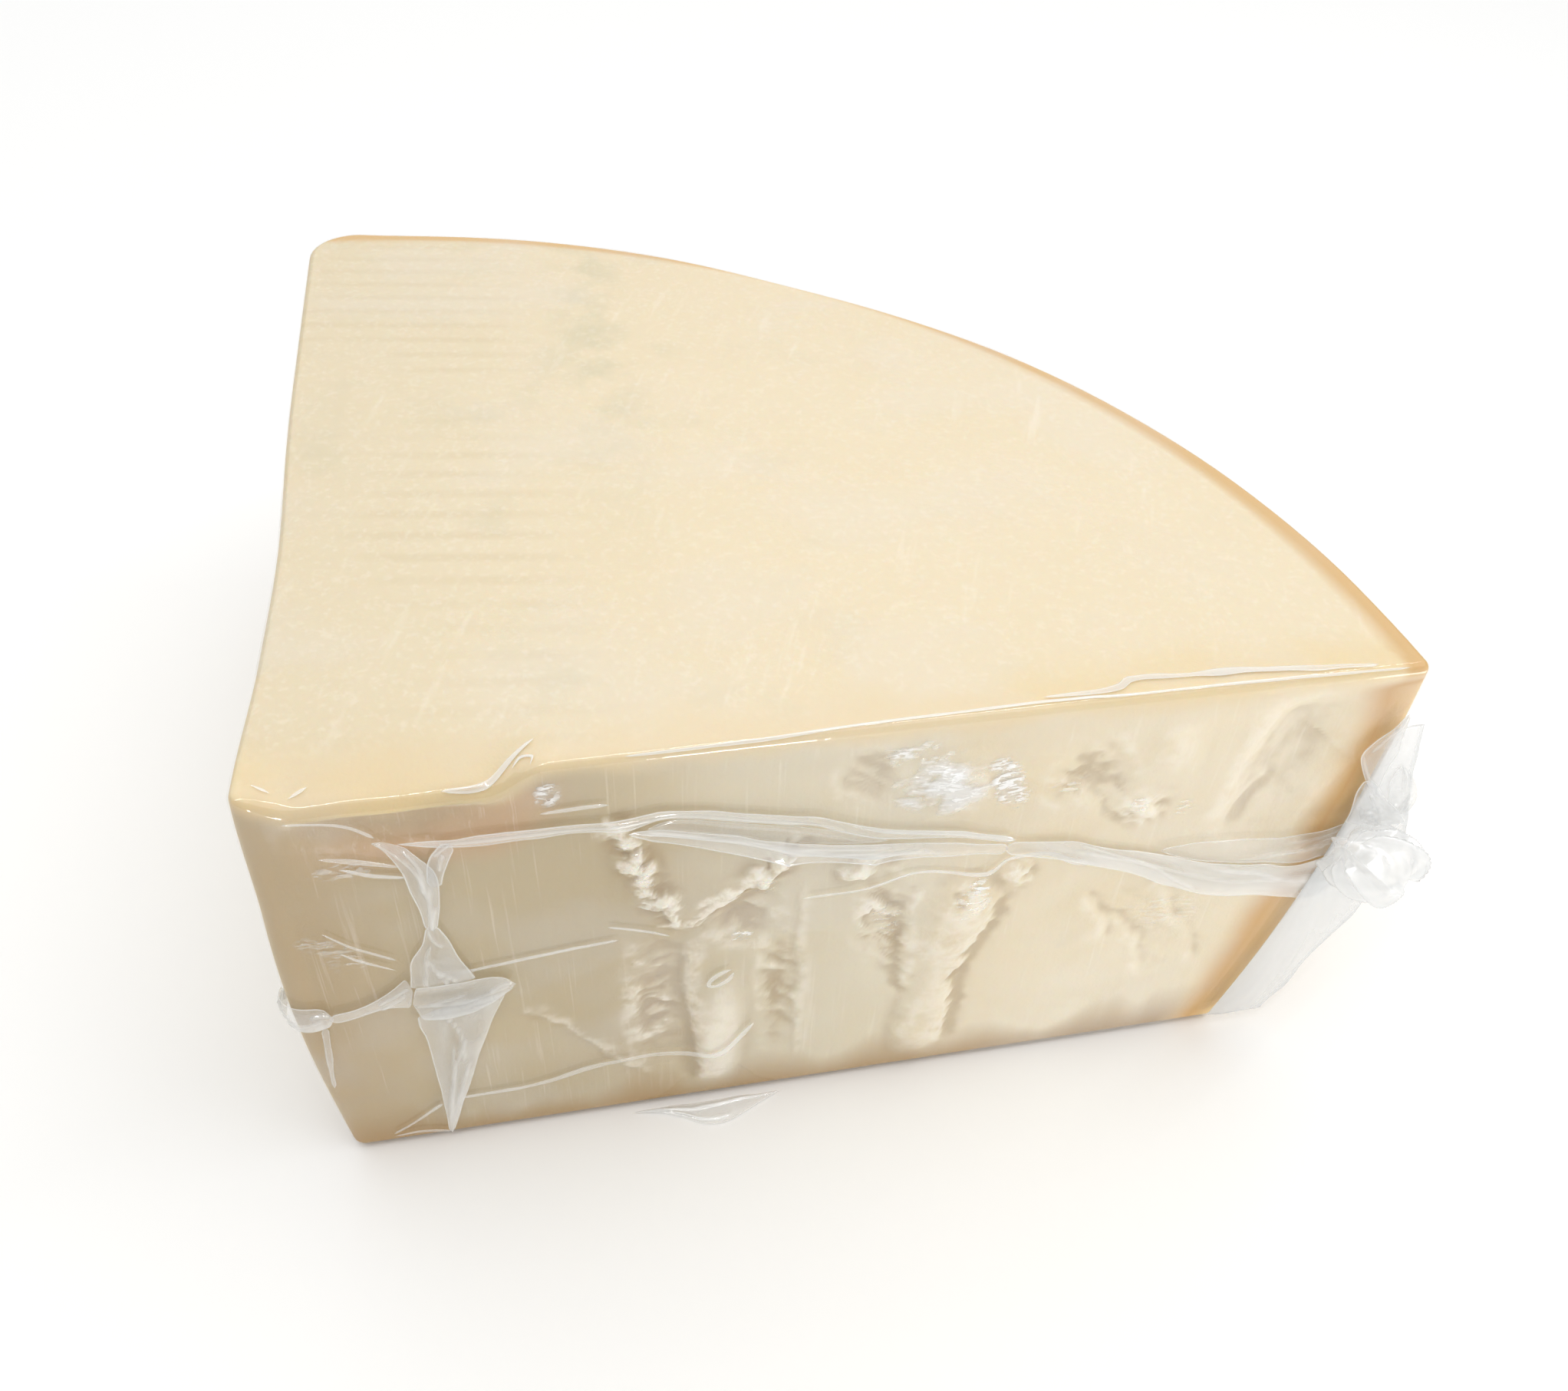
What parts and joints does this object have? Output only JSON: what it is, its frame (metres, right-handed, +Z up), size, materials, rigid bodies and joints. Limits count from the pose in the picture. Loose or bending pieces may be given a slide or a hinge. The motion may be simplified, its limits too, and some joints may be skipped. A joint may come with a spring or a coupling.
{
  "type": "parmesan chunk",
  "caption": "Quarter-round chunk of hard cheese, half a wheel high, with a smooth top cut, craggy split sides, a barrel-shaped rind heel and a clear shrink film gathered at its seams.",
  "frame": {"origin": "middle of the bottom of the bounding box, on the surface that the chunk stands on", "axes": "+Z up, from the flat rind to the top cut; +X along the front cut face from the cutting edge to the heel; +Y along the left cut face from the cutting edge to the heel"},
  "size_m": [0.2372, 0.232, 0.112],
  "materials": {
    "cheese": "cream-coloured grainy paste, smooth where cut and craggy where split, with an amber rind on the heel and base, all under tight clear film",
    "film": "clear glossy shrink film, milky where several layers are gathered"
  },
  "bodies": {
    "root": {"cheese": "cheese", "film_gathers": "film", "film_tail": "film", "film_tab": "film"}
  },
  "joints": []
}
